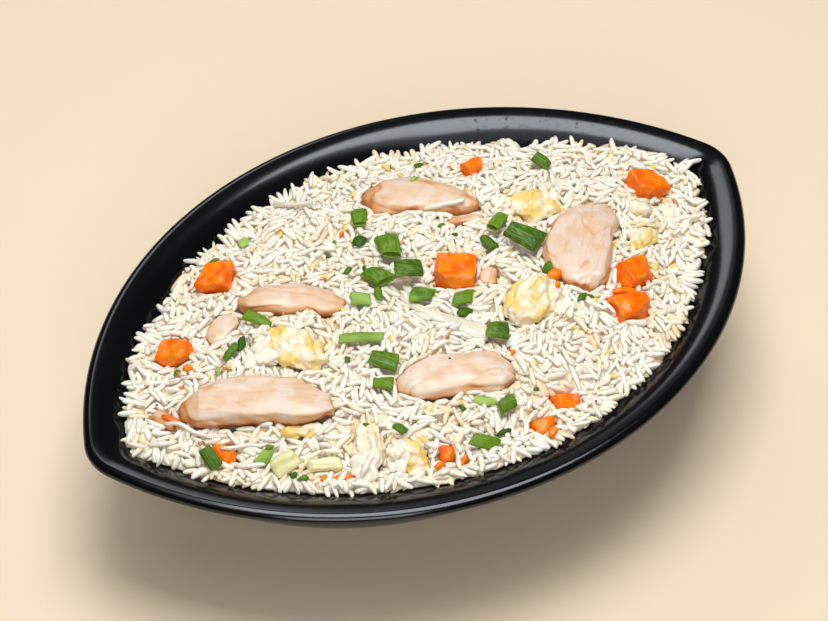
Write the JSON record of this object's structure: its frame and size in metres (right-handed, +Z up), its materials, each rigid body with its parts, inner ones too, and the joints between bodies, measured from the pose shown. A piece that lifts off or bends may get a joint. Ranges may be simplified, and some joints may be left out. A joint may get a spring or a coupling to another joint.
{
  "type": "fried rice plate",
  "caption": "Leaf-shaped black bowl heaped with fried rice, with strips of chicken, scrambled egg, diced carrot, cut spring onion and onion lying in the rice.",
  "frame": {"origin": "centre of the bowl's foot ring, on the table", "axes": "+X along the leaf-shaped bowl, from tip to tip; +Z up"},
  "size_m": [0.3, 0.2076, 0.0759],
  "materials": {
    "black_melamine": "satin black melamine",
    "rice": "moist cooked long grain rice",
    "chicken": "moist fried chicken breast",
    "egg": "soft scrambled egg",
    "egg_white": "soft scrambled egg white",
    "carrot": "moist cooked carrot",
    "spring_onion": "moist cut spring onion leaf",
    "onion": "moist translucent onion and cabbage"
  },
  "bodies": {
    "root": {"bowl": "black_melamine", "cabbage_1": "onion", "cabbage_2": "onion", "carrot_1": "carrot", "carrot_10": "carrot", "carrot_11": "carrot", "carrot_12": "carrot", "carrot_13": "carrot", "carrot_2": "carrot", "carrot_3": "carrot", "carrot_4": "carrot", "carrot_5": "carrot", "carrot_6": "carrot", "carrot_7": "carrot", "carrot_8": "carrot", "carrot_9": "carrot", "chicken_end_1": "chicken", "chicken_shred_1": "chicken", "chicken_shred_2": "chicken", "chicken_strip_1": "chicken", "chicken_strip_2": "chicken", "chicken_strip_3": "chicken", "chicken_strip_4": "chicken", "chicken_strip_5": "chicken", "chicken_strip_6": "chicken", "egg_curd_1": "egg", "egg_curd_2": "egg", "egg_curd_3": "egg", "egg_curd_4": "egg", "egg_curd_5": "egg", "egg_curd_6": "egg", "egg_white_1": "egg_white", "egg_white_2": "egg_white", "onion_petal_1": "onion", "onion_strip_1": "onion", "rice_heap": "rice", "spring_onion_1": "spring_onion", "spring_onion_10": "spring_onion", "spring_onion_11": "spring_onion", "spring_onion_12": "spring_onion", "spring_onion_13": "spring_onion", "spring_onion_14": "spring_onion", "spring_onion_15": "spring_onion", "spring_onion_16": "spring_onion", "spring_onion_17": "spring_onion", "spring_onion_18": "spring_onion", "spring_onion_19": "spring_onion", "spring_onion_2": "spring_onion", "spring_onion_20": "spring_onion", "spring_onion_21": "spring_onion", "spring_onion_3": "spring_onion", "spring_onion_4": "spring_onion", "spring_onion_5": "spring_onion", "spring_onion_6": "spring_onion", "spring_onion_7": "spring_onion", "spring_onion_8": "spring_onion", "spring_onion_9": "spring_onion"}
  },
  "joints": []
}
